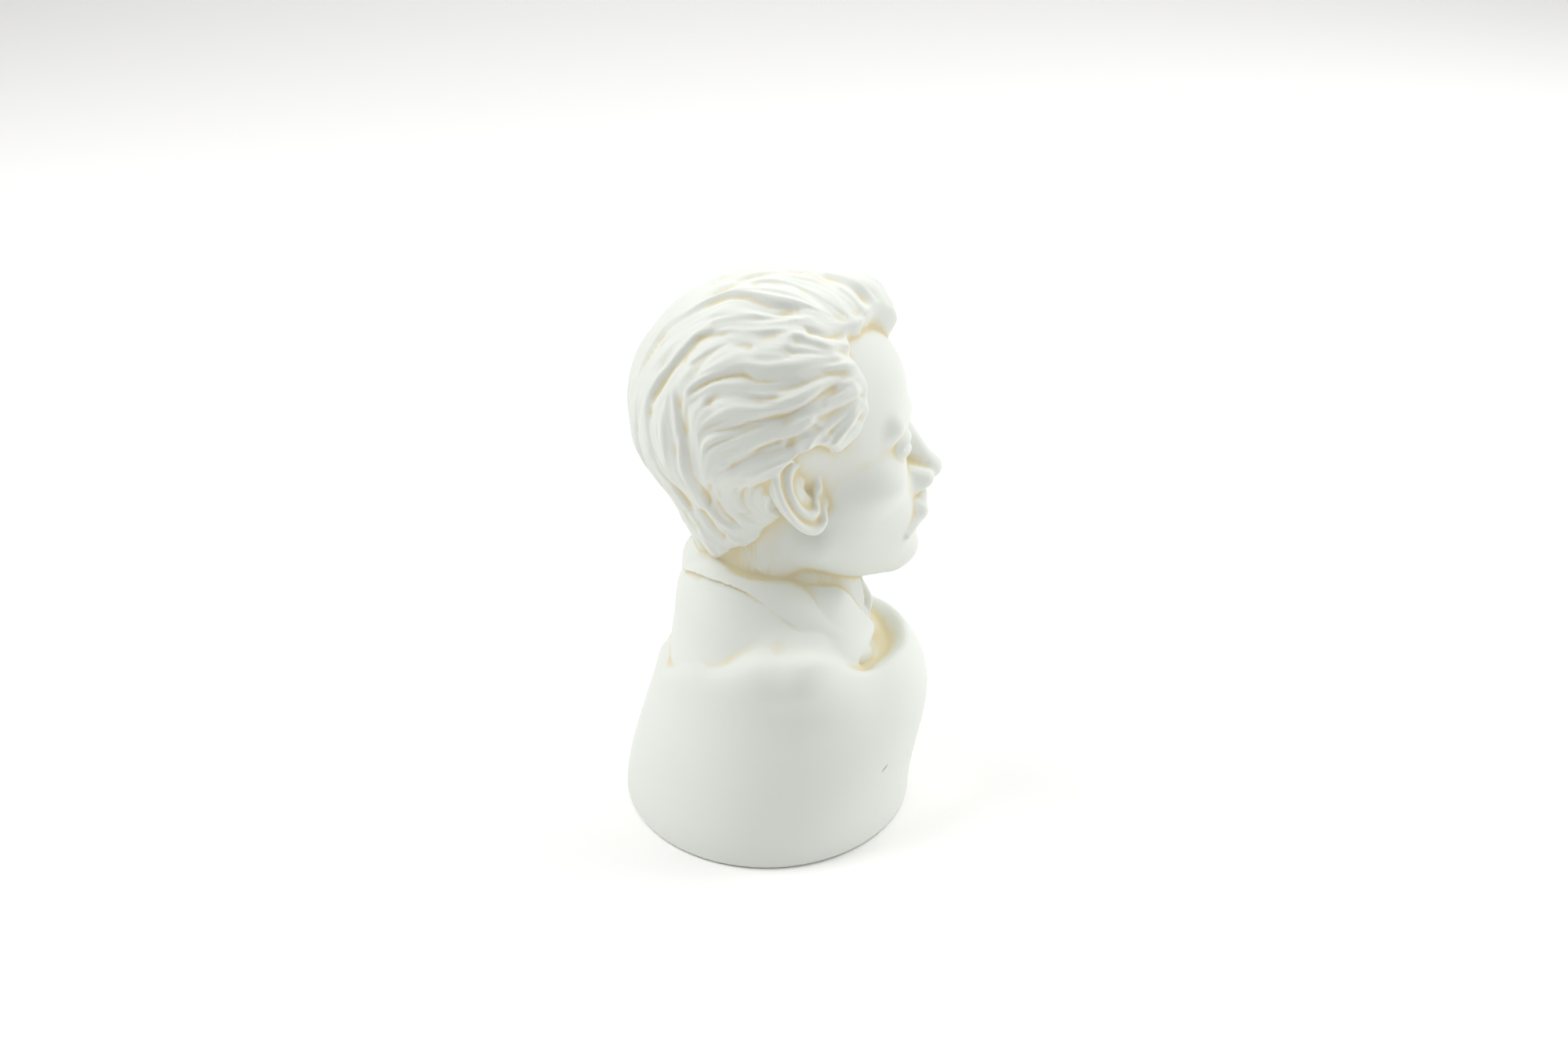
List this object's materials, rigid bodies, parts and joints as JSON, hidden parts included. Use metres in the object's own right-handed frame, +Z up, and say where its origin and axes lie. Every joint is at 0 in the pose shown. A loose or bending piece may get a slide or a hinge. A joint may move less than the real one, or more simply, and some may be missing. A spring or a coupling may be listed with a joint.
{
  "type": "portrait bust",
  "caption": "Small unglazed porcelain portrait bust of a man with combed-back hair, coat collar and tie, cast in one piece with a leaning oval block, resting on its flat underside.",
  "frame": {"origin": "centre of the flat underside", "axes": "+X to the front of the figure's body, +Y to the figure's left, +Z up"},
  "size_m": [0.0861, 0.09, 0.1501],
  "materials": {
    "porcelain": "matt unglazed white porcelain"
  },
  "bodies": {
    "root": {"bust": "porcelain"}
  },
  "joints": []
}
